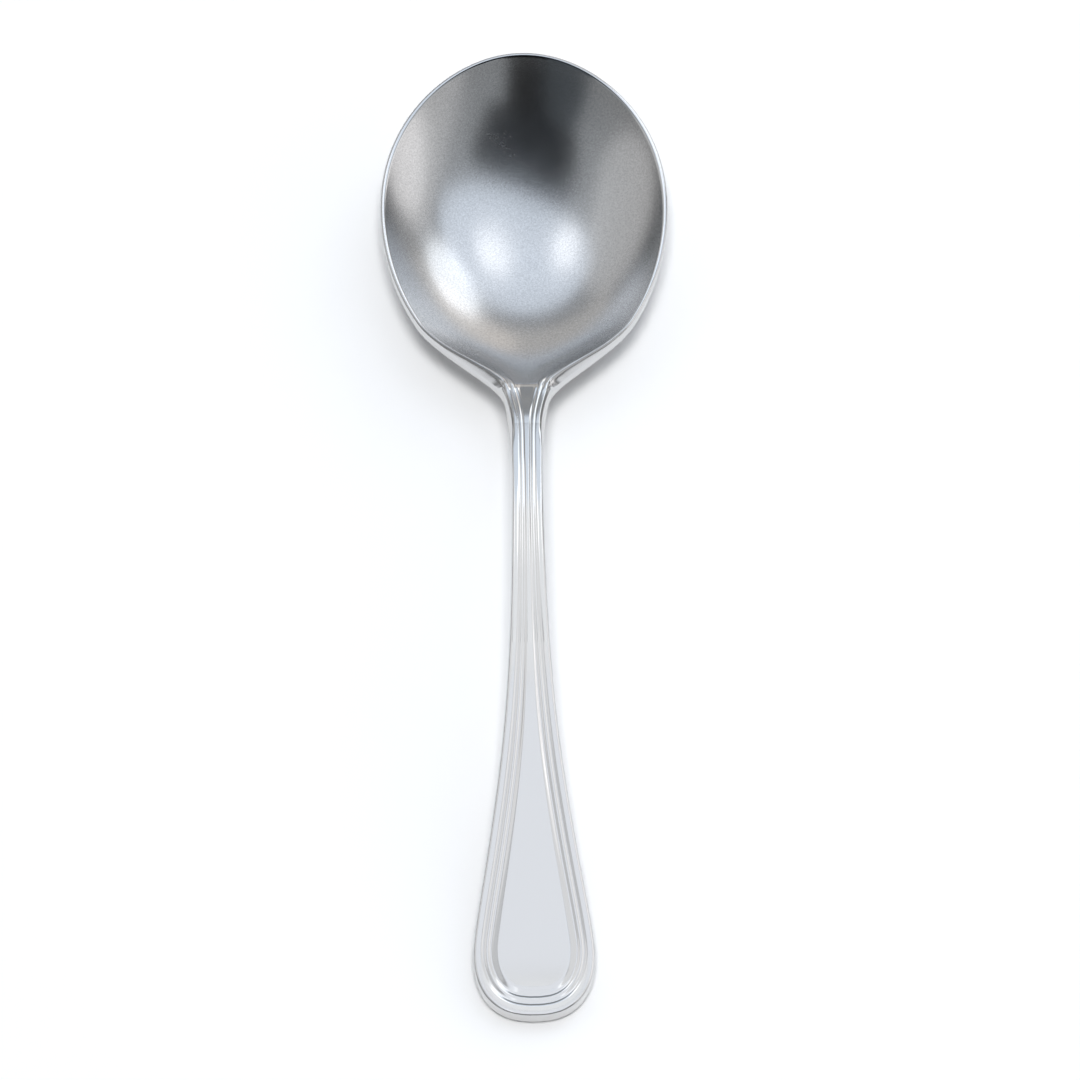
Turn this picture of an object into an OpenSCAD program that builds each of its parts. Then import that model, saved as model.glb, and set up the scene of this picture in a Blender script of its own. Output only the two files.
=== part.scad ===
// Round-bowl soup spoon in stainless steel, with a double-thread border.
// Millimetres. The spoon lies as it rests on a table: X across, +Y from the
// handle end to the bowl tip, +Z up. The origin is at the middle of the length,
// on the table, under the centre line.
// The real object is one blank. Its three regions, the bowl, the neck and the
// handle, are separate closed solids that meet face to face on flat cross
// sections of that blank.

/* [View] */
// Which region to draw

/* [Overall] */
// Length from the handle end to the bowl tip
overall_l = 163.9; // [150:0.2:180]
// Height of the arch of the stem above the edge at the handle end
arch_h = 12.3; // [10:0.1:15]

/* [Bowl] */
// Width of the bowl over its rim
bowl_w = 47.2; // [43:0.1:50]
// Depth of the bowl below its rim
bowl_depth = 9.8; // [8.5:0.1:10.5]
// Metal thickness at the bottom of the bowl
bowl_wall = 1.2; // [1.0:0.1:1.6]
// Width of the flat rim round the bowl
rim_w = 0.7; // [0.6:0.05:1.1]
// How much wider the bowl is toward its tip
bowl_egg = 0.08; // [0:0.01:0.1]

/* [Handle] */
// Width of the handle near its end
handle_w = 19.2; // [17:0.1:22]
// Thickness of the handle at its end
handle_t = 3.5; // [3.0:0.1:4.0]
// Width of the stem at its narrowest
stem_w = 5.0; // [4.8:0.1:6]
// Radius that softens the long edges
edge_r = 0.5; // [0.4:0.05:0.6]

/* [Border] */
// Depth of the groove inside the outer thread
groove_h = 0.14; // [0.08:0.01:0.2]
// Height of the inner thread
thread_h = 0.09; // [0.05:0.01:0.15]
// Height of the panel in the middle of the handle
panel_h = 0.25; // [0.15:0.05:0.4]

/* [Hidden] */
sl = overall_l/163.9;              // length scale of the stations
ye = -overall_l/2;                 // handle end
yt = overall_l/2;                  // bowl tip
bowl_l = 60.6*sl;                  // bowl length, tip to heel
yb = yt - bowl_l/2;                // middle of the bowl
lb = bowl_l/2;
wb = bowl_w/2;
yih = 21.4*sl;                     // heel of the inside of the bowl
yib = (yih + yt - rim_w)/2;        // middle of the inside
lib = (yt - rim_w - yih)/2;
wib = wb - rim_w;
cut_a = -24;                       // flat section, handle to neck
cut_b = 14;                        // flat section, neck to bowl

// Stations every 10 mm from y = -100: half width, top edge height, thickness
HW = [11.2, 10.7, 10.2, 9.55, 7.7, 6.0, 4.55, 3.6, 3.0, 2.7, 2.5, 2.48, 2.48, 2.48, 2.48];
ZE = [3.0, 3.0, 3.0, 4.1, 6.3, 8.7, 11.1, 13.2, 14.7, 15.4, 15.2, 13.9, 11.8, 10.7, 10.5, 10.9, 11.4, 11.9, 12.5, 13.1, 13.7];
TE = [3.0, 3.0, 3.0, 2.95, 2.85, 2.8, 2.9, 3.1, 3.4, 3.6, 3.7, 3.6, 3.3, 2.4, 1.35, 1.2, 1.2, 1.2, 1.2, 1.2, 1.2];

// Helpers: soft ramp, smooth step, smooth minimum, cubic spline through stations
function sp(y, y0, l) = let (q = (y - y0)/l) q > 40 ? y - y0 : q < -40 ? 0 : l*ln(1 + exp(q));
function cl(v, a, b) = max(a, min(b, v));
function sst(a, b, v) = let (t = cl((v - a)/(b - a), 0, 1)) t*t*t*(t*(6*t - 15) + 10);
function smin(a, b, k) = let (h = cl(0.5 + 0.5*(b - a)/k, 0, 1)) b*(1 - h) + a*h - k*h*(1 - h);
function bs(T, y) = let (t = (y/sl + 100)/10, i = cl(floor(t), 1, len(T) - 3), f = t - i)
    (pow(1 - f, 3)*T[i - 1] + (3*f*f*f - 6*f*f + 4)*T[i] + (-3*f*f*f + 3*f*f + 3*f + 1)*T[i + 1] + f*f*f*T[i + 2])/6;

// Outline: half width at y
function w_handle(y) = stem_w/2 + (bs(HW, min(y, 19*sl)) - 2.5)*(handle_w - 5)/14.2;
function w_neck(y) = w_handle(y) + 1.14*sp(y, 21.0*sl, 1) + 0.15*sp(y, 12.6*sl, 2.5);
function eg(s) = (1 + bowl_egg*s)*(1 - 0.078*pow(max(0, s), 3));
function w_egg(y) = let (s = cl((y - yb)/lb, -1, 1)) wb*eg(s)*sqrt(1 - s*s);
function w(y) = y < 0
    ? let (v = cl((ye + 13.2 - y)/13.2, 0, 1)) w_handle(y)*pow(1 - pow(v, 2.6), 1/2.4)
    : let (t = sst(22*sl, 26.5*sl, y), n = w_neck(y)) (1 - t)*n + t*(y > 44 ? w_egg(y) : smin(n, w_egg(y), 1.7));
function wd(y) = (w(min(y + 0.2, yt)) - w(max(y - 0.2, ye)))/(min(y + 0.2, yt) - max(y - 0.2, ye));
function slant(y) = sqrt(1 + pow(cl(wd(y), -4, 4), 2));

// Side view: height of the top edge and thickness along the length
function crown(y) = 0.12 + 0.4*sst(-62, -20, y) + 0.5*sst(8, 22, y);
function te(y) = bs(TE, y) + (handle_t - 3)*(1 - sst(-60, -20, y));
function z_raw(y) = (bs(ZE, y) - 3)*(1 + (arch_h - 12.3)/12.3*(1 - sst(-15, 15, y))) + 3 - 0.5*sst(13, 23, y);
rest_h = min([for (i = [0:40]) let (y = ye + i*0.5) z_raw(y) - te(y) - crown(y)]);
// Dish profile: 0 at the middle, 1 at the rim
function dish(r2) = 0.72*r2 + 0.28*r2*r2;
// Squared dish radius inside the rim and under the bowl
function rim_p(y) = rim_w + 0.3*(1 - sst(24, 32, y)) + 0.7*(1 - sst(22, 30, y));
function rim_f(y) = rim_p(y) - 0.3 - 0.15*(1 - sst(24, 29, y));
function rim_x(y) = rim_p(y)*slant(y);
function r2_in(x, y) = let (s = (y - yib)/lib, s2 = s*s,
    a1 = max(0, 1 - s2)/pow(max(1, w(max(yih, y)) - rim_x(max(yih, y))), 2),
    a2 = 1/pow(wib*eg(s), 2), t = sst(44, 60, y), r1 = s2 + x*x*((1 - t)*a1 + t*a2))
    r1 + (s2 + x*x*a2 - r1)*(1 - t)*(1 - sst(0.2, 1, r1));
function r2_out(x, y) = let (s = (y - yb)/lb, s2 = s*s, t = sst(44, 60, y),
    a1 = max(0, 1 - s2)/pow(max(1, w(y)), 2), a2 = 1/pow(wb*eg(s), 2), r1 = s2 + x*x*((1 - t)*a1 + t*a2))
    r1 + (s2 + x*x*a2 - r1)*(1 - t)*(1 - sst(0.2, 1, r1));

// Both resting points touch z = 0
rest_b = min([for (i = [0:40]) let (y = 30*sl + i, t = te(y)) z_raw(y) - t - (bowl_depth + bowl_wall - t)*(1 - dish(r2_out(0, y)))]);
function z_e(y) = z_raw(y) - rest_b*sst(-20, 22, y) - rest_h*(1 - sst(-60, -10, y));

// Border lines: distance from the outline to the shoulder groove, the outer
// groove, the inner groove and the edge of the panel, along a column that meets
// the outline at y; k is how much longer that column is than the square distance
function grow(y) = 1 - exp(-max(0, w_handle(y) - 2.5)/1.2);
function tipside(y) = 1 - sst(0, 12, y - ye);
function xg0(y) = 2.08 + 0.3*sp(y, 16, 1.6);
function xg1(y) = 1.22 + 0.27*sp(y, 16.2, 1.6) + 0.55*sp(y, 22.4, 0.3);
function xg2(y) = 0.58 + 0.26*sp(y, 16.5, 1.6) + 0.55*sp(y, 22.4, 0.3);
function h1(y) = 1.34 + 0.26*grow(y) + 0.45*tipside(y);
function h2(y) = 2.0 + 0.7*grow(y) + 0.55*tipside(y);
function h3(y) = h2(y) + 0.4 + 1.2*pow(cl((w_handle(y) - 2.5)/7, 0, 1), 0.75) - 0.2*tipside(y);
function A0(y, k) = y < 4 ? 0.5*k*h1(y) : let (t = sst(4, 10, y), u = sst(20.5, 23.5, y))
    (1 - u)*((1 - t)*0.5*k*h1(y) + t*(w(y) - xg0(y))) + u*k*rim_f(y);
function A1(y, k) = y < 4 ? k*h1(y) : let (t = sst(4, 10, y), u = sst(23, 26, y))
    (1 - u)*((1 - t)*k*h1(y) + t*(w(y) - xg1(y))) + u*(k*rim_p(y) + 0.6);
function A2(y, k) = y < 4 ? k*h2(y) : let (t = sst(4, 10, y), u = sst(23, 26, y))
    (1 - u)*((1 - t)*k*h2(y) + t*(w(y) - xg2(y))) + u*(k*rim_p(y) + 1.4);
function A3(y, k) = y < 4 ? k*h3(y) : let (t = sst(4, 10, y), u = sst(23, 26, y))
    (1 - u)*((1 - t)*k*h3(y) + t*(w(y) - 0.45*xg2(y))) + u*(k*rim_p(y) + 2.3);
function gw(y) = 0.18 + 0.17*grow(y)*(1 - sst(0, 8, y));
// Height of the border over the plain top: the crowned outer thread, three
// grooves, the inner thread and the panel
function relief(a, y, k) = let (a0 = A0(y, k), a1 = A1(y, k), a2 = A2(y, k), a3 = A3(y, k), g = gw(y),
    f = 1 - sst(21.4, 23, y), h = 1 - 0.35*sst(-40, -10, y) - 0.2*sst(6, 16, y), p = panel_h*(1 - 0.6*sst(-50, -10, y)))
    - 0.7*groove_h*sst(10, 17, y)*(1 - sst(22, 24.5, y))*exp(-pow((a - a0)/0.2, 2))
    + f*((a < a1 ? thread_h*(1 - sst(0, 12, y))*(1 - pow(2*a/a1 - 1, 2)) : 0)
    - groove_h*h*exp(-pow((a - a1)/g, 2))
    + thread_h*h*exp(-pow((a - (a1 + a2)/2)/max(0.1, 0.42*(a2 - a1)), 2))
    + p*(1 - 3.4*pow(cl((y - 14)/7.6, 0, 1), 2))*sst(a2, a3, a) - 0.9*groove_h*h*exp(-pow((a - a2)/g, 2)));
// One thread where it runs on over the heel into the bowl and dies out
function run(x, y, xr) = 0.08 - 0.4*(1 - sst(18.5, 21.2, y)) - 0.24*pow(max(0, y - 21.7), 2) - 1.2*pow(x - xr, 2);

// Top and underside heights; a is the distance in from the outline, along a
// column that meets the outline at yo
// The flank that slopes down from the outer thread to the outline of the neck,
// the shoulders and the rim
function flank(a, y, k) = y < 8 ? 0 : let (ac = A0(y, k) + 0.05*(1 - sst(22, 25, y)))
    sst(8, 16, y)*(1 - 0.6*sst(30, 45, y))*sp((ac - a)/k, 0, 0.1);
function er(y) = edge_r*(1 - 0.45*sst(14, 26, y));
function drop(a, y, k) = let (r = er(y), q = cl(1 - a/(r*k), 0, 1)) r*(1 - sqrt(1 - q*q));
function z_top(x, y, a, yo, k) = let (ze = z_e(y), d = drop(a, yo, k), ff = flank(a, yo, k), fl = smin((1.4 + 0.1*sst(20, 23, yo))*ff, max(0.6, te(y) - 1.05), 0.25), hh = ze + relief(a, yo, k) - d - fl)
    y < 12 ? hh : let (z = smin(hh, ze - bowl_depth*(1 - dish(r2_in(x, y))) - d - fl, 0.25 + 0.15*(1 - sst(23, 26, y))))
    y < 18 || y > 27 ? z : -smin(smin(-z, -ze - run(x, y, (xg1(y) + xg2(y))/2), 0.1), -ze - run(x, y, (xg0(y) + xg1(y))/2), 0.1);
function z_bot(x, y, a, yo, k) = let (ze = z_e(y), t = te(y), ww = max(0.1, w(y)),
    hh = ze - t - crown(y)*(1 - pow(cl(x/ww, -1, 1), 2))*(y < 20 ? 1 : 1 - sst(20, 30, y)))
    (y < 12 ? hh : smin(hh, ze - t - (bowl_depth + bowl_wall - t)*(1 - dish(r2_out(x, y))), 0.3 + 1.3*(1 - sst(20, 34, y))))
    + drop(a, yo, k)*min(1, t/2.4) + 0.1*flank(a, yo, k);

// Columns: [half width, y at the outline, y on the centre line]
n_end = 18;
n_bowl = 46;
y_f = ye + 16;
y_b = 22*sl;
th_b = asin((y_b + 0.8 - yb)/lb);
COLS = concat(
    [for (i = [0:n_end - 1]) let (y = ye + 16*(1 - cos(90*i/n_end)))
        [i == 0 ? 0 : w(y), y, ye + 8.5 + 7.5*pow(i/n_end, 1.3)]],
    [for (y = [y_f:(cut_a - y_f)/15:cut_a - 0.01]) [w(y), y, y]],
    [for (i = [0:11]) let (y = cut_a + (cut_b - cut_a)*i/12) [w(y), y, y]],
    [for (i = [0:11]) let (y = cut_b + (y_b - cut_b)*i/12) [w(y), y, y]],
    [for (i = [0:n_bowl]) let (f = i/n_bowl, q = th_b + (90 - th_b)*f, y0 = yb + lb*sin(q),
        y = i == 0 ? y_b : y0 - 0.8*(1 - sst(0, 0.25, f)))
        [i == n_bowl ? 0 : w(y), y, y_b + (yb + 4 - y_b)*(1 - pow(1 - f, 1.6))]]
);
NC = len(COLS);
j_a = [for (j = [0:NC - 1]) if (abs(COLS[j][1] - cut_a) < 1e-6) j][0];
j_b = [for (j = [0:NC - 1]) if (abs(COLS[j][1] - cut_b) < 1e-6) j][0];

// Rings: distances in from the outline along a column of length n
function ring_top(y, n, sk) = let (r = er(y)*sk, g = gw(y), a0 = max(A0(y, sk), r + 0.15), a1 = max(A1(y, sk), a0 + 0.3),
    a2 = max(A2(y, sk), a1 + 0.45), a3 = max(A3(y, sk), a2 + 0.2), m = min(0.7, 0.32*(a2 - a1)/g), k = min(1, (n - 0.3)/(a3 + 0.02)))
    concat([for (v = [0, 0.13*r, 0.45*r, r, r + 0.45*(a0 - r), a0 - min(0.28, 0.4*(a0 - r)), a0, a0 + 0.3*min(0.9, a1 - a0), a1 - 0.35*min(4*g, a1 - a0), a1 - 0.14*min(4*g, a1 - a0),
        a1, a1 + m*g, (a1 + a2)/2, a2 - m*g, a2, a2 + 0.5*(a3 - a2), a3]) v*k],
        [for (f = [0.12, 0.27, 0.44, 0.62, 0.81, 1]) a3*k + (n - a3*k)*f]);
function ring_bot(y, n, sk) = let (r = er(y)*sk, k = min(1, 0.4*n/r))
    concat([for (v = [0, 0.13, 0.45, 1]) v*r*k], [for (f = [0.08, 0.2, 0.35, 0.52, 0.7, 0.86, 1]) r*k + (n - r*k)*f]);
NT = 23;
NB = 11;
NR = NT + NB;                       // points in a column, top then bottom

function col_pts(j, m) = let (c = COLS[j], n = norm([c[0], c[1] - c[2]]), ux = -c[0]/n, uy = (c[2] - c[1])/n,
    d = wd(c[1]), k = 1/max(0.3, (uy*d - ux)/sqrt(1 + d*d)), rt = ring_top(c[1], n, k), rb = ring_bot(c[1], n, k))
    concat(
        [for (a = rt) let (x = c[0] + ux*a, y = c[1] + uy*a) [m*(a == n ? 0 : x), y, z_top(x, y, a, c[1], k)]],
        [for (a = rb) let (x = c[0] + ux*a, y = c[1] + uy*a) [m*(a == n ? 0 : x), y, z_bot(x, y, a, c[1], k)]]);

// Closed shell over the columns j0 to j1, with a flat fan on each cut section
module region(j0, j1) {
    cap0 = j0 > 0;
    cap1 = j1 < NC - 1;
    nj = j1 - j0 + 1;
    half = [for (j = [j0:j1]) each col_pts(j, 1)];
    other = [for (p = half) [-p[0], p[1], p[2]]];
    np = len(half);
    z0 = (half[NT - 1][2]*0.4 + half[NR - 1][2]*0.6);
    e = (nj - 1)*NR;
    z1 = (half[e + NT - 1][2]*0.4 + half[e + NR - 1][2]*0.6);
    pts = concat(half, other, [[0, COLS[j0][1], z0], [0, COLS[j1][1], z1]]);
    // index of a point: side s, column j (from 0), ring r
    function id(s, j, r) = (s == 0 || r == NT - 1 || r == NR - 1 || (j == 0 && !cap0) || (j == nj - 1 && !cap1)) ? j*NR + r : np + j*NR + r;
    function tri(s, a, b, c) = s == 0 ? [a, b, c] : [a, c, b];
    // a quad as two triangles, on the other diagonal beside the end of the handle
    function quad(s, a, b, c, d, other) = other ? [tri(s, a, b, d), tri(s, b, c, d)] : [tri(s, a, b, c), tri(s, a, c, d)];
    shell = [for (s = [0, 1]) for (j = [0:nj - 2]) each concat(
        [for (r = [0:NT - 2]) each quad(s, id(s, j, r), id(s, j, r + 1), id(s, j + 1, r + 1), id(s, j + 1, r), j == 0 && !cap0)],
        [for (r = [NT:NR - 2]) each quad(s, id(s, j, r), id(s, j + 1, r), id(s, j + 1, r + 1), id(s, j, r + 1), j == 0 && !cap0)],
        [tri(s, id(s, j, NT), id(s, j, 0), id(s, j + 1, 0)),
         tri(s, id(s, j, NT), id(s, j + 1, 0), id(s, j + 1, NT))])];
    ends = [for (s = [0, 1]) each concat(
        cap0 ? concat([for (r = [0:NT - 2]) tri(s, 2*np, id(s, 0, r + 1), id(s, 0, r))],
                      [for (r = [NT:NR - 2]) tri(s, 2*np, id(s, 0, r), id(s, 0, r + 1))],
                      [tri(s, 2*np, id(s, 0, 0), id(s, 0, NT))]) : [],
        cap1 ? concat([for (r = [0:NT - 2]) tri(s, 2*np + 1, id(s, nj - 1, r), id(s, nj - 1, r + 1))],
                      [for (r = [NT:NR - 2]) tri(s, 2*np + 1, id(s, nj - 1, r + 1), id(s, nj - 1, r))],
                      [tri(s, 2*np + 1, id(s, nj - 1, NT), id(s, nj - 1, 0))]) : [])];
    polyhedron(points = pts, faces = concat(shell, ends), convexity = 6);
}

module bowl() { color([0.72, 0.73, 0.74]) region(j_b, NC - 1); }
module neck() { color([0.80, 0.81, 0.83]) region(j_a, j_b); }
module handle() { color([0.76, 0.77, 0.79]) region(0, j_a); }

bowl();
neck();
handle();
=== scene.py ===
import bpy, math
import numpy as np
from mathutils import Vector, Matrix, Quaternion


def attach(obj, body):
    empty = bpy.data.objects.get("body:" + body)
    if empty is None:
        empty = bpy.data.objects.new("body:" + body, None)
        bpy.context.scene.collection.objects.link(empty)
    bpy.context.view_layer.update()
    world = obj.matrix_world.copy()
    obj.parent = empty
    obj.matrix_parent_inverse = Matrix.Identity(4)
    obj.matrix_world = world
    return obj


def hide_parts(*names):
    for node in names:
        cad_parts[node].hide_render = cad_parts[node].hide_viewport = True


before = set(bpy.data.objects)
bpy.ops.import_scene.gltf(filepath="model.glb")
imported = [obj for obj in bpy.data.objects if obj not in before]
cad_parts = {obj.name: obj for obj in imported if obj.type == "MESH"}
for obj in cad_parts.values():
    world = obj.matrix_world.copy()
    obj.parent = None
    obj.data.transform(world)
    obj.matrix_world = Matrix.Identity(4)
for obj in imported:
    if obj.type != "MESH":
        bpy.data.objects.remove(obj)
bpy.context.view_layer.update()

# ---------------------------------------------------------------- the shape
# The same functions as in part.scad, in millimetres, sampled much finer.
OVERALL_L, ARCH_H = 163.9, 12.3
BOWL_W, BOWL_DEPTH, BOWL_WALL, RIM_W, BOWL_EGG = 47.2, 9.8, 1.2, 0.7, 0.08
HANDLE_W, HANDLE_T, STEM_W, EDGE_R = 19.2, 3.5, 5.0, 0.5
GROOVE_H, THREAD_H, PANEL_H = 0.14, 0.09, 0.25
YE, YT = -OVERALL_L / 2, OVERALL_L / 2
BOWL_L = 60.6
YB, LB, WB = YT - BOWL_L / 2, BOWL_L / 2, BOWL_W / 2
YIH = 21.4
YIB, LIB, WIB = (YIH + YT - RIM_W) / 2, (YT - RIM_W - YIH) / 2, WB - RIM_W
CUT_A, CUT_B = -24.0, 14.0
HW = [11.2, 10.7, 10.2, 9.55, 7.7, 6.0, 4.55, 3.6, 3.0, 2.7, 2.5, 2.48, 2.48, 2.48, 2.48]
ZE = [3.0, 3.0, 3.0, 4.1, 6.3, 8.7, 11.1, 13.2, 14.7, 15.4, 15.2, 13.9, 11.8, 10.7, 10.5, 10.9, 11.4, 11.9, 12.5, 13.1, 13.7]
TE = [3.0, 3.0, 3.0, 2.95, 2.85, 2.8, 2.9, 3.1, 3.4, 3.6, 3.7, 3.6, 3.3, 2.4, 1.35, 1.2, 1.2, 1.2, 1.2, 1.2, 1.2]


def sp(y, y0, l):
    return l * np.logaddexp(0.0, (y - y0) / l)


def sst(a, b, v):
    t = np.clip((v - a) / (b - a), 0, 1)
    return t * t * t * (t * (6 * t - 15) + 10)


def smin(a, b, k):
    h = np.clip(0.5 + 0.5 * (b - a) / k, 0, 1)
    return b * (1 - h) + a * h - k * h * (1 - h)


def bs(tab, y):
    T = np.array(tab, float)
    t = (np.asarray(y, float) + 100) / 10
    i = np.clip(np.floor(t).astype(int), 1, len(tab) - 3)
    f = t - i
    return ((1 - f) ** 3 * T[i - 1] + (3 * f ** 3 - 6 * f * f + 4) * T[i]
            + (-3 * f ** 3 + 3 * f * f + 3 * f + 1) * T[i + 1] + f ** 3 * T[i + 2]) / 6


def w_handle(y):
    return STEM_W / 2 + (bs(HW, np.minimum(y, 19)) - 2.5) * (HANDLE_W - 5) / 14.2


def w_neck(y):
    return w_handle(y) + 1.14 * sp(y, 21.0, 1) + 0.15 * sp(y, 12.6, 2.5)


def eg(s):
    return (1 + BOWL_EGG * s) * (1 - 0.078 * np.maximum(0, s) ** 3)


def w_egg(y):
    s = np.clip((y - YB) / LB, -1, 1)
    return WB * eg(s) * np.sqrt(np.maximum(0, 1 - s * s))


def w(y):
    y = np.asarray(y, float)
    v = np.clip((YE + 13.2 - y) / 13.2, 0, 1)
    t = sst(22, 26.5, y)
    n, e = w_neck(y), w_egg(y)
    return np.where(y < 0, w_handle(y) * (1 - v ** 2.6) ** (1 / 2.4),
                    (1 - t) * n + t * np.where(y > 44, e, smin(n, e, 1.7)))


def wd(y):
    hi, lo = np.minimum(y + 0.2, YT), np.maximum(y - 0.2, YE)
    return (w(hi) - w(lo)) / (hi - lo)


def slant(y):
    return np.sqrt(1 + np.clip(wd(y), -4, 4) ** 2)


def crown(y):
    return 0.12 + 0.4 * sst(-62, -20, y) + 0.5 * sst(8, 22, y)


def te(y):
    return bs(TE, y) + (HANDLE_T - 3) * (1 - sst(-60, -20, y))


def z_raw(y):
    return (bs(ZE, y) - 3) * (1 + (ARCH_H - 12.3) / 12.3 * (1 - sst(-15, 15, y))) + 3 - 0.5 * sst(13, 23, y)


_y = YE + 0.5 * np.arange(41)
REST_H = float(np.min(z_raw(_y) - te(_y) - crown(_y)))


def dish(r2):
    return 0.72 * r2 + 0.28 * r2 * r2


def rim_p(y):
    return RIM_W + 0.3 * (1 - sst(24, 32, y)) + 0.7 * (1 - sst(22, 30, y))


def rim_f(y):
    return rim_p(y) - 0.3 - 0.15 * (1 - sst(24, 29, y))


def rim_x(y):
    return rim_p(y) * slant(y)


def _round(s, x, a1, a2, t):
    r1 = s * s + x * x * ((1 - t) * a1 + t * a2)
    return r1 + (s * s + x * x * a2 - r1) * (1 - t) * (1 - sst(0.2, 1, r1))


def r2_in(x, y):
    s = (y - YIB) / LIB
    ym = np.maximum(YIH, y)
    a1 = np.maximum(0, 1 - s * s) / np.maximum(1, w(ym) - rim_x(ym)) ** 2
    return _round(s, x, a1, 1 / (WIB * eg(s)) ** 2, sst(44, 60, y))


def r2_out(x, y):
    s = (y - YB) / LB
    a1 = np.maximum(0, 1 - s * s) / np.maximum(1, w(y)) ** 2
    return _round(s, x, a1, 1 / (WB * eg(s)) ** 2, sst(44, 60, y))


_y = 30.0 + np.arange(41)
REST_B = float(np.min(z_raw(_y) - te(_y) - (BOWL_DEPTH + BOWL_WALL - te(_y)) * (1 - dish(r2_out(0, _y)))))


def z_e(y):
    return z_raw(y) - REST_B * sst(-20, 22, y) - REST_H * (1 - sst(-60, -10, y))


def grow(y):
    return 1 - np.exp(-np.maximum(0, w_handle(y) - 2.5) / 1.2)


def tipside(y):
    return 1 - sst(0, 12, y - YE)


def xg0(y):
    return 2.08 + 0.3 * sp(y, 16, 1.6)


def xg1(y):
    return 1.22 + 0.27 * sp(y, 16.2, 1.6) + 0.55 * sp(y, 22.4, 0.3)


def xg2(y):
    return 0.58 + 0.26 * sp(y, 16.5, 1.6) + 0.55 * sp(y, 22.4, 0.3)


def h1(y):
    return 1.34 + 0.26 * grow(y) + 0.45 * tipside(y)


def h2(y):
    return 2.0 + 0.7 * grow(y) + 0.55 * tipside(y)


def h3(y):
    return h2(y) + 0.4 + 1.2 * np.clip((w_handle(y) - 2.5) / 7, 0, 1) ** 0.75 - 0.2 * tipside(y)


def _line(y, plain, from_axis, rim, u0, u1):
    t, u = sst(4, 10, y), sst(u0, u1, y)
    return np.where(y < 4, plain, (1 - u) * ((1 - t) * plain + t * (w(y) - from_axis)) + u * rim)


def A0(y, k):
    return _line(y, 0.5 * k * h1(y), xg0(y), k * rim_f(y), 20.5, 23.5)


def A1(y, k):
    return _line(y, k * h1(y), xg1(y), k * rim_p(y) + 0.6, 23, 26)


def A2(y, k):
    return _line(y, k * h2(y), xg2(y), k * rim_p(y) + 1.4, 23, 26)


def A3(y, k):
    return _line(y, k * h3(y), 0.45 * xg2(y), k * rim_p(y) + 2.3, 23, 26)


def gw(y):
    return 0.18 + 0.17 * grow(y) * (1 - sst(0, 8, y))


def relief(a, y, k):
    a0, a1, a2, a3, g = A0(y, k), A1(y, k), A2(y, k), A3(y, k), gw(y)
    f, h = 1 - sst(21.4, 23, y), 1 - 0.35 * sst(-40, -10, y) - 0.2 * sst(6, 16, y)
    p = PANEL_H * (1 - 0.6 * sst(-50, -10, y))
    t = np.clip((a - a2) / np.maximum(1e-3, a3 - a2), 0, 1)
    return (-0.7 * GROOVE_H * sst(10, 17, y) * (1 - sst(22, 24.5, y)) * np.exp(-((a - a0) / 0.2) ** 2)
            + f * (np.where(a < a1, THREAD_H * (1 - sst(0, 12, y)) * (1 - (2 * a / a1 - 1) ** 2), 0)
                   - GROOVE_H * h * np.exp(-((a - a1) / g) ** 2)
                   + THREAD_H * h * np.exp(-((a - (a1 + a2) / 2) / np.maximum(0.1, 0.42 * (a2 - a1))) ** 2)
                   + p * (1 - 3.4 * np.clip((y - 14) / 7.6, 0, 1) ** 2) * t * t * t * (t * (6 * t - 15) + 10)
                   - 0.9 * GROOVE_H * h * np.exp(-((a - a2) / g) ** 2)))


def run(x, y, xr):
    """A thread where it runs on over the heel into the bowl and dies out."""
    return 0.08 - 0.4 * (1 - sst(18.5, 21.2, y)) - 0.24 * np.maximum(0, y - 21.7) ** 2 - 1.2 * (x - xr) ** 2


def flank(a, y, k):
    ac = A0(y, k) + 0.05 * (1 - sst(22, 25, y))
    return sst(8, 16, y) * (1 - 0.6 * sst(30, 45, y)) * sp((ac - a) / k, 0, 0.1)


def er(y):
    return EDGE_R * (1 - 0.45 * sst(14, 26, y))


def drop(a, y, k):
    r = er(y)
    q = np.clip(1 - a / (r * k), 0, 1)
    return r * (1 - np.sqrt(np.maximum(0, 1 - q * q)))


def z_top(x, y, a, yo, k):
    ze = z_e(y)
    d = drop(a, yo, k)
    ff = flank(a, yo, k)
    fl = smin((1.4 + 0.1 * sst(20, 23, yo)) * ff, np.maximum(0.6, te(y) - 1.05), 0.25)
    hh = ze + relief(a, yo, k) - d - fl
    z = smin(hh, ze - BOWL_DEPTH * (1 - dish(r2_in(x, y))) - d - fl, 0.25 + 0.15 * (1 - sst(23, 26, y)))
    r = -smin(smin(-z, -ze - run(x, y, (xg1(y) + xg2(y)) / 2), 0.1), -ze - run(x, y, (xg0(y) + xg1(y)) / 2), 0.1)
    return np.where(y < 12, hh, np.where((y < 18) | (y > 27), z, r))


def z_bot(x, y, a, yo, k):
    ze, t, ww = z_e(y), te(y), np.maximum(0.1, w(y))
    hh = ze - t - crown(y) * (1 - np.clip(x / ww, -1, 1) ** 2) * np.where(y < 20, 1, 1 - sst(20, 30, y))
    bowl = smin(hh, ze - t - (BOWL_DEPTH + BOWL_WALL - t) * (1 - dish(r2_out(x, y))), 0.3 + 1.3 * (1 - sst(20, 34, y)))
    return np.where(y < 12, hh, bowl) + drop(a, yo, k) * np.minimum(1, t / 2.4) + 0.1 * flank(a, yo, k)


# ---------------------------------------------------------------- the mesh
FINE = 1.0


def n_of(n):
    return max(6, int(round(n * FINE)))


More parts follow.
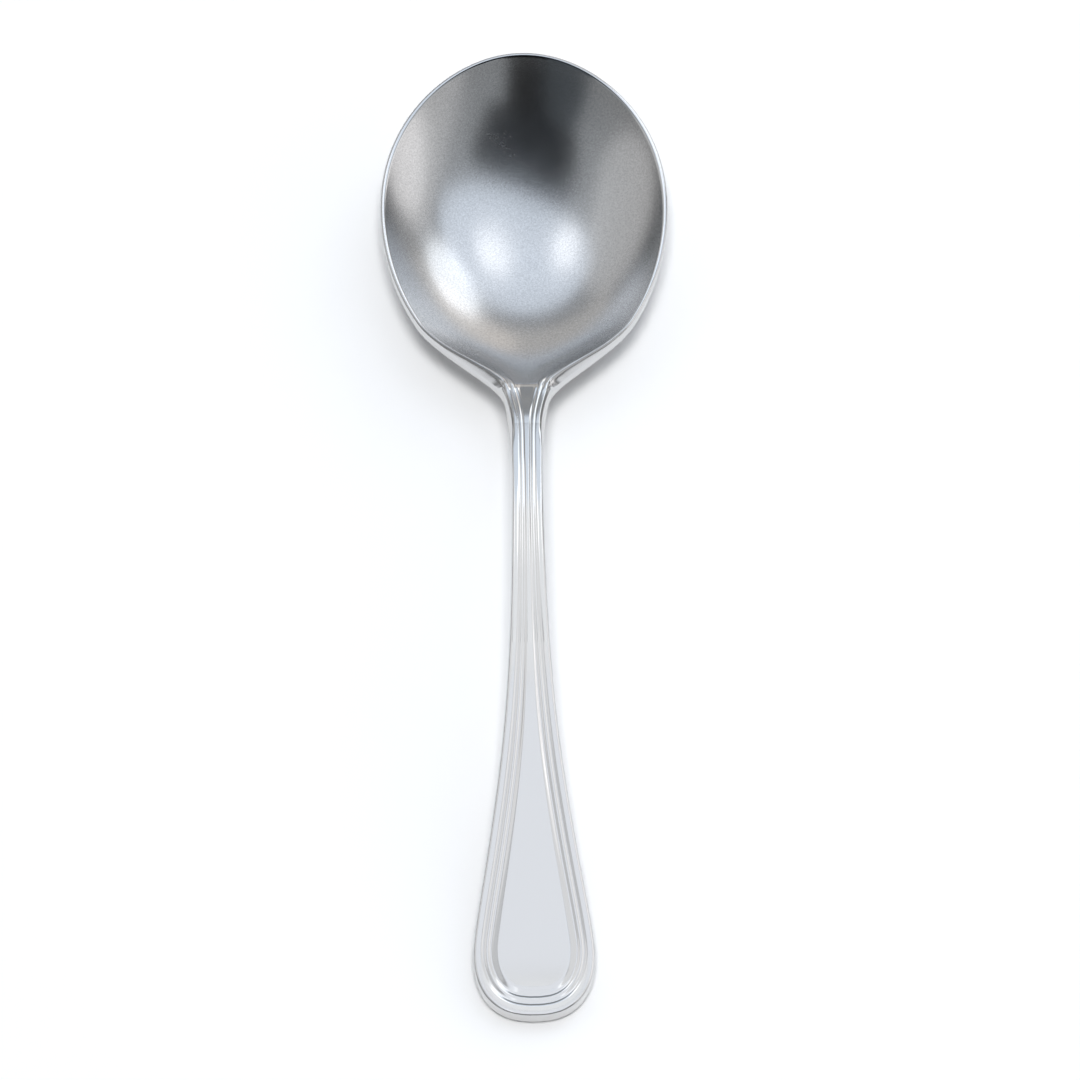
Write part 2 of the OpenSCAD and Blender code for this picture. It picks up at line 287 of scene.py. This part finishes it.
def columns():
    rows, cuts = [], {}
    n = n_of(150)
    for i in range(n):
        y = YE + 16 * (1 - math.cos(math.pi / 2 * i / n))
        rows.append((0.0 if i == 0 else None, y, YE + 8.5 + 7.5 * (i / n) ** 1.3))
    yf = YE + 16
    n = n_of(150)
    rows += [(None, y, y) for y in np.linspace(yf, CUT_A, n, endpoint=False)]
    cuts["a"] = len(rows)
    rows += [(None, y, y) for y in np.linspace(CUT_A, CUT_B, n_of(110), endpoint=False)]
    cuts["b"] = len(rows)
    rows += [(None, y, y) for y in np.linspace(CUT_B, 22, n_of(60), endpoint=False)]
    th = math.asin((22 + 0.8 - YB) / LB)
    n = n_of(380)
    for i in range(n + 1):
        f = i / n
        y0 = YB + LB * math.sin(th + (math.pi / 2 - th) * f)
        y = 22.0 if i == 0 else y0 - 0.8 * (1 - float(sst(0, 0.25, np.float64(f))))
        rows.append((0.0 if i == n else None, y, 22 + (YB + 4 - 22) * (1 - (1 - f) ** 1.6)))
    y = np.array([r[1] for r in rows])
    x = np.array([float(w(r[1])) if r[0] is None else 0.0 for r in rows])
    s = np.array([r[2] for r in rows])
    return x, y, s, cuts


def ladder(stops, counts):
    """Distances through the stops (each an array over columns), with counts points in each gap."""
    out = [stops[0]]
    for a, b, n in zip(stops[:-1], stops[1:], counts):
        out += [a + (b - a) * k / n for k in range(1, n + 1)]
    return np.stack(out, 1)


def sheets():
    x, y, s, cuts = columns()
    n = np.hypot(x, y - s)
    ux, uy = -x / n, (s - y) / n
    d = wd(y)
    sk = 1 / np.maximum(0.3, (uy * d - ux) / np.sqrt(1 + d * d))
    r, g = er(y) * sk, gw(y)
    a0 = np.maximum(A0(y, sk), r + 0.15)
    a1 = np.maximum(A1(y, sk), a0 + 0.3)
    a2 = np.maximum(A2(y, sk), a1 + 0.45)
    a3 = np.maximum(A3(y, sk), a2 + 0.2)
    k = np.minimum(1, (n - 0.3) / (a3 + 0.02))
    m = np.minimum(0.7, 0.32 * (a2 - a1) / g)
    stops = [0 * r, 0.05 * r, 0.2 * r, 0.55 * r, r, a0 - np.minimum(0.28, 0.6 * (a0 - r)), a0, a0 + 0.3 * np.minimum(0.9, a1 - a0),
             a1 - 0.35 * np.minimum(4 * g, a1 - a0), a1, a1 + m * g, a2 - m * g, a2, a3]
    stops = [v * k for v in stops] + [a3 * k + (n - a3 * k) * 0.3, n]
    top = ladder(stops, [n_of(v) if v > 6 else v for v in (3, 3, 4, 5, 5, 6, 6, 5, 9, 6, 10, 8, 16, 20, 24)])
    kb = np.minimum(1, 0.4 * n / r)
    rb = r * kb
    bot = ladder([0 * r, 0.05 * rb, 0.2 * rb, 0.55 * rb, rb, rb + (n - rb) * 0.15, n], [3, 3, 4, 5, 8, 28])
    out = []
    for a, fn in ((top, z_top), (bot, z_bot)):
        X, Y = x[:, None] + ux[:, None] * a, y[:, None] + uy[:, None] * a
        X[:, -1] = 0.0
        out.append(np.stack([X, Y, fn(X, Y, a, y[:, None], sk[:, None])], 2))
    return out[0], out[1], cuts


def grid_faces(idx, flip):
    a, b, c, d = idx[:-1, :-1], idx[1:, :-1], idx[1:, 1:], idx[:-1, 1:]
    q = np.stack([a, b, c, d], 2).reshape(-1, 4)
    return q[:, ::-1] if flip else q


def vertex_normals(P, F):
    A, B, C, D = (P[F[:, i]] for i in range(4))
    fn = np.cross(C - A, D - B)
    N = np.zeros_like(P)
    for i in range(4):
        np.add.at(N, F[:, i], fn)
    return N / np.maximum(1e-12, np.linalg.norm(N, axis=1, keepdims=True))


def whole():
    top, bot, cuts = sheets()
    nc, nt = top.shape[:2]
    nb = bot.shape[1]
    P = [np.concatenate([top, bot], 1)]
    nr = nt + nb
    left = P[0] * np.array([-1, 1, 1])
    P = np.concatenate([P[0].reshape(-1, 3), left.reshape(-1, 3)])
    base = np.arange(nc * nr).reshape(nc, nr)
    other = base + nc * nr
    for r in (nt - 1, nr - 1):
        other[:, r] = base[:, r]
    other[0], other[-1] = base[0], base[-1]
    faces, cols = [], []
    for ids, flip in ((base, False), (other, True)):
        t, b = ids[:, :nt], ids[:, nt:]
        wall = np.stack([ids[:, nt], ids[:, 0]], 1)
        for block, fl in ((t, flip), (b, not flip), (wall, flip)):
            faces.append(grid_faces(block, fl))
            cols.append(np.repeat(np.arange(nc - 1), block.shape[1] - 1))
    F, J = np.concatenate(faces), np.concatenate(cols)
    return P, F, J, cuts, base, other, nt, nr


P, F, J, CUTS, BASE, OTHER, NT, NR = whole()
P = P / 1000.0
V0 = P[F[:, 0]]
NRM = vertex_normals(P, F)
# outward check: the top faces up
if NRM[BASE[CUTS["a"], NT // 2]][2] < 0:
    F = F[:, ::-1]
    NRM = -NRM


def cap(j):
    """The closed loop round the blank at column j."""
    b, o = BASE[j], OTHER[j]
    right = list(b[:NT][::-1]) + list(b[NT:])          # centre top -> edge -> centre bottom
    leftl = list(o[NT:][::-1][1:]) + list(o[:NT][:-1])  # centre bottom -> edge -> centre top
    return [int(v) for v in right + leftl]


def make_piece(name, j0, j1, caps, mats, mat_of):
    keep = (J >= j0) & (J < j1)
    f = F[keep]
    used, inv = np.unique(f.ravel(), return_inverse=True)
    f = inv.reshape(-1, 4)
    pts, nrm = P[used], NRM[used]
    where = {int(v): i for i, v in enumerate(used)}
    loops = [f.ravel()]
    starts = list(np.arange(len(f)) * 4)
    totals = [4] * len(f)
    n = len(f) * 4
    for j, up in caps:
        lp = [where[v] for v in cap(j)]
        a, b, c = pts[lp[0]], pts[lp[len(lp) // 3]], pts[lp[2 * len(lp) // 3]]
        ny = np.cross(b - a, c - a)[1]
        if (ny > 0) != (up > 0):
            lp = lp[::-1]
        loops.append(np.array(lp))
        starts.append(n)
        totals.append(len(lp))
        n += len(lp)
    loops = np.concatenate(loops).astype(np.int32)
    me = bpy.data.meshes.new(name)
    me.vertices.add(len(pts))
    me.vertices.foreach_set("co", pts.astype(np.float32).ravel())
    me.loops.add(len(loops))
    me.loops.foreach_set("vertex_index", loops)
    me.polygons.add(len(starts))
    me.polygons.foreach_set("loop_start", np.array(starts, np.int32))
    me.update(calc_edges=True)
    me.validate()
    for m in mats:
        me.materials.append(m)
    me.polygons.foreach_set("use_smooth", np.ones(len(starts), bool))
    if mat_of is not None:
        idx = np.zeros(len(starts), np.int32)
        idx[:len(f)] = mat_of(pts[f].mean(1), nrm[f].mean(1))
        me.polygons.foreach_set("material_index", idx)
    split = np.repeat(np.arange(len(starts)), totals)
    ln = nrm[loops].copy()
    for k, (j, up) in enumerate(caps):
        ln[split == len(f) + k] = (0, up, 0)
    me.normals_split_custom_set([tuple(v) for v in ln])
    me.update()
    o = bpy.data.objects.new(name, me)
    bpy.context.scene.collection.objects.link(o)
    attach(o, "root")
    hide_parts(name)
    return o


# ---------------------------------------------------------------- materials
def steel(name, color, rough, rough_var, grain, grain_scale, bump, fleck=0.0):
    m = bpy.data.materials.new(name)
    m.use_nodes = True
    nt = m.node_tree
    nt.nodes.clear()
    N = nt.nodes.new
    L = nt.links.new
    out = N("ShaderNodeOutputMaterial")
    bsdf = N("ShaderNodeBsdfPrincipled")
    L(bsdf.outputs["BSDF"], out.inputs["Surface"])
    bsdf.inputs["Base Color"].default_value = (*color, 1)
    bsdf.inputs["Metallic"].default_value = 1.0
    tc = N("ShaderNodeTexCoord")
    # fine grain
    g = N("ShaderNodeTexNoise")
    g.inputs["Scale"].default_value = grain_scale
    g.inputs["Detail"].default_value = 3
    g.inputs["Roughness"].default_value = 0.6
    L(tc.outputs["Object"], g.inputs["Vector"])
    # broad smudges
    s = N("ShaderNodeTexNoise")
    s.inputs["Scale"].default_value = 90
    s.inputs["Detail"].default_value = 4
    L(tc.outputs["Object"], s.inputs["Vector"])
    mr = N("ShaderNodeMapRange")
    mr.inputs["From Min"].default_value = 0.3
    mr.inputs["From Max"].default_value = 0.7
    mr.inputs["To Min"].default_value = rough - rough_var
    mr.inputs["To Max"].default_value = rough + rough_var
    L(s.outputs["Fac"], mr.inputs["Value"])
    mg = N("ShaderNodeMath")
    mg.operation = "MULTIPLY_ADD"
    L(g.outputs["Fac"], mg.inputs[0])
    mg.inputs[1].default_value = grain
    L(mr.outputs["Result"], mg.inputs[2])
    L(mg.outputs[0], bsdf.inputs["Roughness"])
    b = N("ShaderNodeBump")
    b.inputs["Strength"].default_value = 1.0
    b.inputs["Distance"].default_value = bump
    L(g.outputs["Fac"], b.inputs["Height"])
    L(b.outputs["Normal"], bsdf.inputs["Normal"])
    if fleck:
        # the tiny pits and scratches of a satin finish, a little duller and brighter than their surroundings
        f = N("ShaderNodeTexNoise")
        f.inputs["Scale"].default_value = 3600
        f.inputs["Detail"].default_value = 1.5
        L(tc.outputs["Object"], f.inputs["Vector"])
        fr = N("ShaderNodeMapRange")
        fr.inputs["From Min"].default_value = 0.3
        fr.inputs["From Max"].default_value = 0.7
        L(f.outputs["Fac"], fr.inputs["Value"])
        mx = N("ShaderNodeMix")
        mx.data_type = "RGBA"
        for i in mx.inputs:
            if i.name in "AB" and i.type == "RGBA":
                i.default_value = (*[c * (1 - fleck if i.name == "A" else 1 + fleck) for c in color], 1)
        L(fr.outputs["Result"], mx.inputs["Factor"])
        L([o for o in mx.outputs if o.type == "RGBA"][0], bsdf.inputs["Base Color"])
    return m


M_BOWL = steel("bowl_satin", (0.615, 0.615, 0.615), 0.21, 0.03, 0.06, 4600, 3e-6, 0.11)
M_POL = steel("steel_polished", (0.66, 0.66, 0.66), 0.12, 0.02, 0.03, 4200, 6e-7)


def dished(c, n):
    """1 where a face lies on the satin inside of the bowl, 0 on the polished rim, heel and outside."""
    x, y, z = (c * 1000).T
    ok = (n[:, 2] > 0.05) & (y > 21.6) & (z < z_e(y) - 0.15)
    return np.where(ok & (r2_in(x, y) < 0.985), 0, 1)


BOWL = make_piece("bowl", CUTS["b"], len(BASE) - 1, [(CUTS["b"], -1)], [M_BOWL, M_POL], dished)
NECK = make_piece("neck", CUTS["a"], CUTS["b"], [(CUTS["a"], -1), (CUTS["b"], 1)], [M_POL], None)
HANDLE = make_piece("handle", 0, CUTS["a"], [(CUTS["a"], 1)], [M_POL], None)


# ---------------------------------------------------------------- studio
def plane(name, size, loc, look=None, rot=None, color=(1, 1, 1), rough=0.9, emit=0.0):
    me = bpy.data.meshes.new(name)
    x, y = size[0] / 2, size[1] / 2
    me.from_pydata([(-x, -y, 0), (x, -y, 0), (x, y, 0), (-x, y, 0)], [], [(0, 1, 2, 3)])
    o = bpy.data.objects.new(name, me)
    bpy.context.scene.collection.objects.link(o)
    o.location = loc
    if look is not None:
        o.rotation_euler = (Vector(look) - Vector(loc)).to_track_quat("Z", "Y").to_euler()
    m = bpy.data.materials.new(name)
    m.use_nodes = True
    b = m.node_tree.nodes["Principled BSDF"]
    b.inputs["Base Color"].default_value = (*color, 1)
    b.inputs["Roughness"].default_value = rough
    if emit:
        b.inputs["Emission Color"].default_value = (*color, 1)
        b.inputs["Emission Strength"].default_value = emit
    me.materials.append(m)
    return o


def area(name, size, loc, look, power, color=(1, 1, 1)):
    l = bpy.data.lights.new(name, "AREA")
    l.shape = "RECTANGLE"
    l.size, l.size_y = size
    l.energy = power
    l.color = color
    o = bpy.data.objects.new(name, l)
    bpy.context.scene.collection.objects.link(o)
    o.location = loc
    o.rotation_euler = (Vector(look) - Vector(loc)).to_track_quat("-Z", "Y").to_euler()
    return o


FLOOR = plane("floor", (8, 8), (0, 0, -0.0002), color=(0.94, 0.94, 0.94), rough=0.8)


def at(az, r, d=1.8):
    """A point seen from the spoon at azimuth az (0 = camera side, 90 = right, 180 = far) and angle r from overhead."""
    a, t = math.radians(az), math.radians(r)
    return (d * math.sin(a) * math.sin(t), -d * math.cos(a) * math.sin(t), d * math.cos(t))


def box_light(name, az, r, wide, high, glow, color=(1, 1, 1), d=1.8):
    """A soft box wide by high degrees across, with an even glow."""
    sx, sy = 2 * d * math.tan(math.radians(wide / 2)), 2 * d * math.tan(math.radians(high / 2))
    return area(name, (sx, sy), at(az, r, d), (0, 0, 0), glow * math.pi * sx * sy, color)


def rolled(o, degrees):
    """Turned about its own axis: clockwise as seen from above for a card over the table."""
    o.rotation_euler = (o.rotation_euler.to_quaternion() @ Quaternion((0, 0, 1), math.radians(degrees))).to_euler()
    return o


def oval_light(*a, **k):
    o = box_light(*a, **k)
    o.data.shape = "ELLIPSE"
    o.data.energy *= math.pi / 4
    return o


def card(name, az, r, wide, high, color, d=1.6):
    sx, sy = 2 * d * math.tan(math.radians(wide / 2)), 2 * d * math.tan(math.radians(high / 2))
    return plane(name, (sx, sy), at(az, r, d), look=(0, 0, 0), color=color, rough=1.0)


# a plain sky dome, darker toward the horizon
world = bpy.data.worlds.new("world")
bpy.context.scene.world = world
world.use_nodes = True
wn = world.node_tree
bg = wn.nodes["Background"]
tc = wn.nodes.new("ShaderNodeTexCoord")
sep = wn.nodes.new("ShaderNodeSeparateXYZ")
ramp = wn.nodes.new("ShaderNodeValToRGB")
wn.links.new(tc.outputs["Generated"], sep.inputs[0])
wn.links.new(sep.outputs["Z"], ramp.inputs["Fac"])
wn.links.new(ramp.outputs["Color"], bg.inputs["Color"])
cr = ramp.color_ramp
cr.elements[0].position, cr.elements[0].color = 0.0, (0.12, 0.12, 0.125, 1)
cr.elements[1].position, cr.elements[1].color = 1.0, (0.40, 0.43, 0.46, 1)
for at_z, col in ((0.12, (0.28, 0.28, 0.28, 1)), (0.6, (0.31, 0.325, 0.34, 1)), (0.75, (0.38, 0.40, 0.42, 1))):
    cr.elements.new(at_z).color = col
bg.inputs["Strength"].default_value = 1.0

def only(pieces, *lights):
    """Lights that reach the named pieces alone, as small local boxes and screens do over a real table."""
    c = bpy.data.collections.new("lit_" + lights[0].name)
    for piece in pieces:
        c.objects.link(piece)
    for light in lights:
        light.light_linking.receiver_collection = c


COOL, PLAIN = (0.84, 0.95, 1.12), (1.0, 0.985, 0.985)
only((BOWL, FLOOR),
     oval_light("softbox_top", 166, 28, 79, 47, 0.66, COOL),
     box_light("softbox_low", 172, 72, 92, 22, 0.31, (1.02, 0.96, 0.89)))
only((HANDLE,),
     box_light("softbox_over_h", 180, 15.5, 54, 27, 0.73, (0.985, 0.985, 0.995), d=1.1),
     box_light("softbox_front_h", 0, 27, 54, 58, 0.72, (0.92, 0.97, 1.06), d=1.1))
only((NECK,),
     box_light("softbox_over", 180, 16.5, 54, 23, 0.73, (0.985, 0.985, 0.995)),
     box_light("softbox_front", 0, 25.5, 54, 61, 0.73, (0.985, 0.985, 0.995), d=1.1))
only((HANDLE, NECK), box_light("softbox_far", 180, 37, 54, 18, 0.66, COOL))
only((HANDLE, NECK),
     box_light("softbox_side_l", 270, 46, 70, 38, 0.38, PLAIN),
     box_light("softbox_side_r", 90, 45, 70, 38, 0.60, PLAIN))
oval_light("softbox_hot", 138, 60, 30, 25, 1.35, (0.95, 1.0, 1.06), d=1.7)
oval_light("softbox_a", 220, 32, 14, 15, 0.95, PLAIN, d=1.7)
oval_light("softbox_b", 149, 29, 17, 15, 0.9, PLAIN, d=1.7)
oval_light("softbox_left", 248, 60, 56, 44, 0.32, PLAIN)
oval_light("softbox_right", 80, 66, 70, 40, 0.30, PLAIN)
oval_light("softbox_right2", 93, 73, 38, 30, 0.58, (1.0, 0.975, 0.985))
only((BOWL,), oval_light("softbox_warm", 156, 73, 40, 24, 0.24, (1.12, 0.96, 0.84)))
# three dark cards over the dish; each has a lit face for the handle, so that only the dish mirrors the dark
for name, az, r, wide, high, roll, color, d in (("flag_over", -4, 12, 57, 30, 15, (0.01, 0.013, 0.018), 1.5),
                                          ("flag_front", -5, 38, 27, 40, 0, (0.006, 0.006, 0.006), 1.6),
                                          ("flag_left", -35, 42, 30, 50, 0, (0.115, 0.13, 0.145), 1.62)):
    rolled(card(name, az, r, wide, high, color, d), roll)
    only((HANDLE, NECK), rolled(box_light(name + "_face", az, r, wide, high, 0.40, d=d - 0.02), -roll))
fill = area("fill", (0.3, 0.3), (0.0, -0.15, 1.2), (0, 0, 0), 8.5)
fill.visible_glossy = False

# ---------------------------------------------------------------- camera
ELEV, DIST, ROLL = math.radians(67.5), 0.75, math.radians(0.83)
TARGET = Vector((0.00185, -0.0045, 0.009))
cam = bpy.data.cameras.new("camera")
cam.sensor_width = 36
cam.lens = 156.25
cam.clip_start = 0.01
co = bpy.data.objects.new("camera", cam)
bpy.context.scene.collection.objects.link(co)
co.location = TARGET + DIST * Vector((0, -math.cos(ELEV), math.sin(ELEV)))
q = (TARGET - co.location).to_track_quat("-Z", "Y")
co.rotation_mode = "QUATERNION"
co.rotation_quaternion = q @ Quaternion((0, 0, 1), -ROLL)
bpy.context.scene.camera = co
bpy.context.scene.view_settings.view_transform = "Standard"
